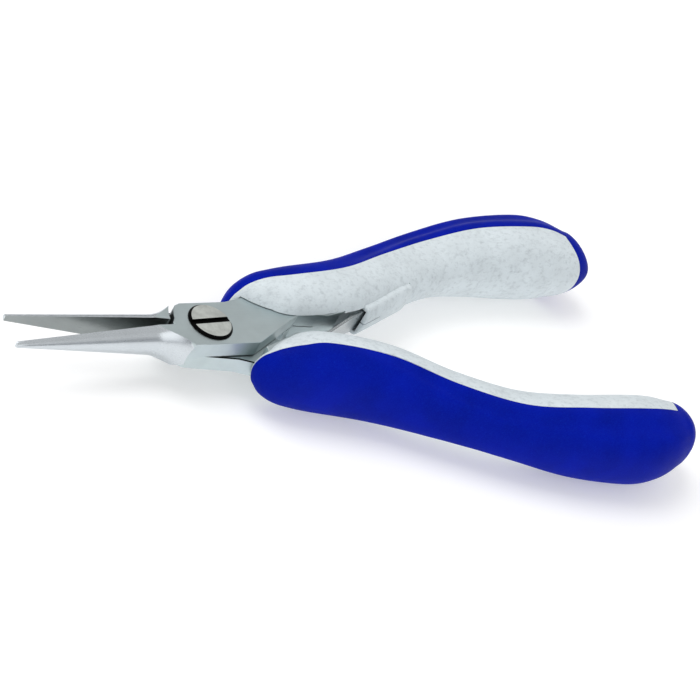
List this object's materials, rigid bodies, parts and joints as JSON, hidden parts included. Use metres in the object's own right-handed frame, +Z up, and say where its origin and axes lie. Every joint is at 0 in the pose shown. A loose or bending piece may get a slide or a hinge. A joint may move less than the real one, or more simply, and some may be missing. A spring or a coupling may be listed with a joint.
{
  "type": "half-round nose pliers",
  "caption": "Precision pliers with long slim half-round jaws, a screwed lap joint, a leaf return spring and two-colour moulded grips.",
  "frame": {"origin": "under the middle of the pliers, on the surface they lie on", "axes": "+X from the jaw tips to the handles, +Y towards the upper handle, +Z up along the pivot axis"},
  "size_m": [0.1548, 0.0726, 0.0188],
  "materials": {
    "satin_steel": "satin",
    "screw_steel": "satin",
    "spring_steel": "satin",
    "pale_plastic": "matte",
    "blue_elastomer": "matte"
  },
  "bodies": {
    "lower_handle": {"upper_jaw_half": "satin_steel", "pivot_screw": "screw_steel", "lower_grip_core": "pale_plastic", "lower_grip_skin": "blue_elastomer", "spring_pin": "spring_steel"},
    "upper_handle": {"lower_jaw_half": "satin_steel", "upper_grip_core": "pale_plastic", "upper_grip_skin": "blue_elastomer", "spring_pocket": "pale_plastic"},
    "spring": {"return_spring": "spring_steel"}
  },
  "joints": [
    {"name": "pivot", "type": "hinge", "parent": "lower_handle", "child": "upper_handle", "pos_m": [-0.03515, 0, 0.0094], "axis": [0, 0, 1], "range_deg": [-8.8, 4], "stiffness_Nm_per_rad": 2},
    {"name": "spring_hinge", "type": "hinge", "parent": "lower_handle", "child": "spring", "pos_m": [-0.01385, -0.0047, 0.0094], "axis": [0, 0, 1], "range_deg": [-17.3, 8]}
  ],
  "couplings": [
    {"joint": "spring_hinge", "follows": "pivot", "ratio": 1.93}
  ]
}
